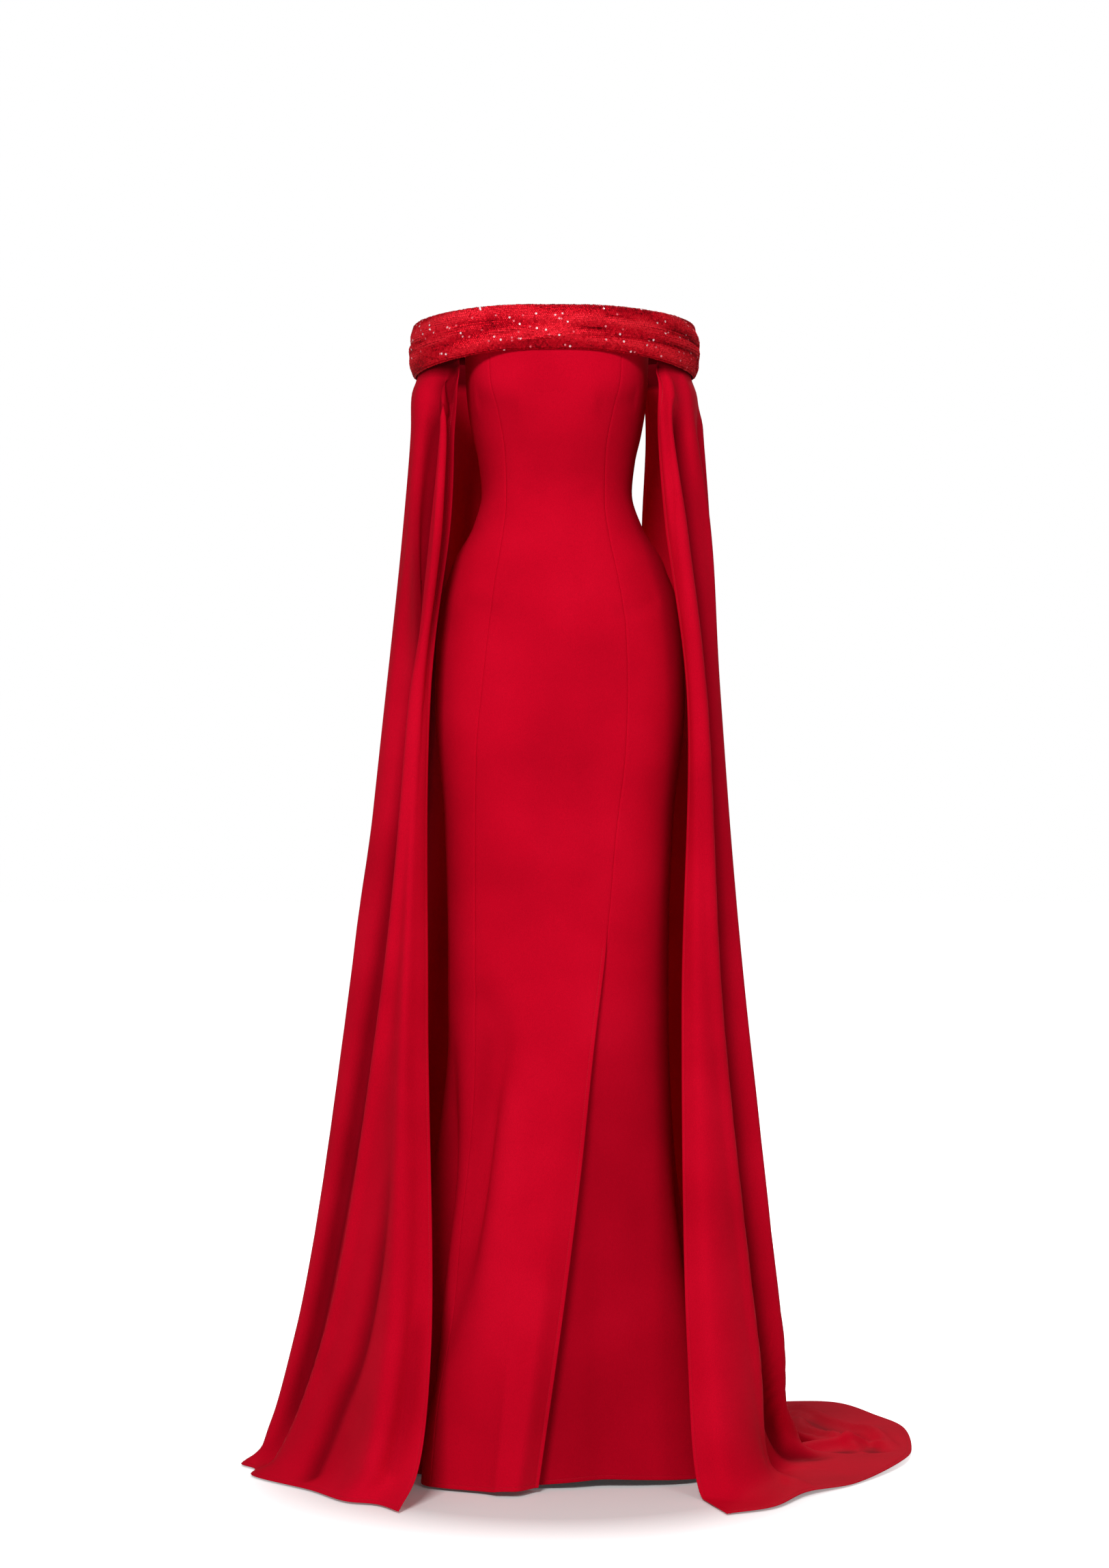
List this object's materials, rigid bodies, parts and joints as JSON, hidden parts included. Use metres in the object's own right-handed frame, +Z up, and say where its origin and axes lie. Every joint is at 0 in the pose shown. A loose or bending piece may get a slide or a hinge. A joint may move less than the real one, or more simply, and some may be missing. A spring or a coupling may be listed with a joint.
{
  "type": "off-shoulder cape-sleeve evening gown",
  "caption": "Strapless princess-seamed gown with a slit, a gathered sequinned off-shoulder band and open floor-length cape sleeves, in its worn hollow form",
  "frame": {"origin": "centre of the bodice top, where the gown is held when worn, 1430 mm above the floor that its sleeves meet", "axes": "+Z up, the front faces -Y, the garment's left side is at +X"},
  "size_m": [0.8884, 0.711, 1.4894],
  "materials": {
    "crepe": "matte",
    "sequinned_cloth": "satin",
    "zip_tape_cloth": "matte",
    "enamelled_zinc": "painted"
  },
  "bodies": {
    "gown": {"centre_front_panel": "crepe", "side_front_panel_right": "crepe", "side_front_panel_left": "crepe", "side_back_panel_left": "crepe", "centre_back_panel_left": "crepe", "centre_back_panel_right": "crepe", "side_back_panel_right": "crepe", "band_front": "sequinned_cloth", "band_back": "sequinned_cloth", "cape_sleeve_left": "crepe", "cape_sleeve_right": "crepe", "zip_tape": "zip_tape_cloth", "zip_slider": "enamelled_zinc"},
    "pull_tab": {"zip_pull_tab": "enamelled_zinc"}
  },
  "joints": [
    {"name": "pull_tab_turn", "type": "hinge", "parent": "gown", "child": "pull_tab", "pos_m": [0, 0.1008, -0.012], "axis": [1, 0, 0], "range_deg": [0, 170]}
  ]
}
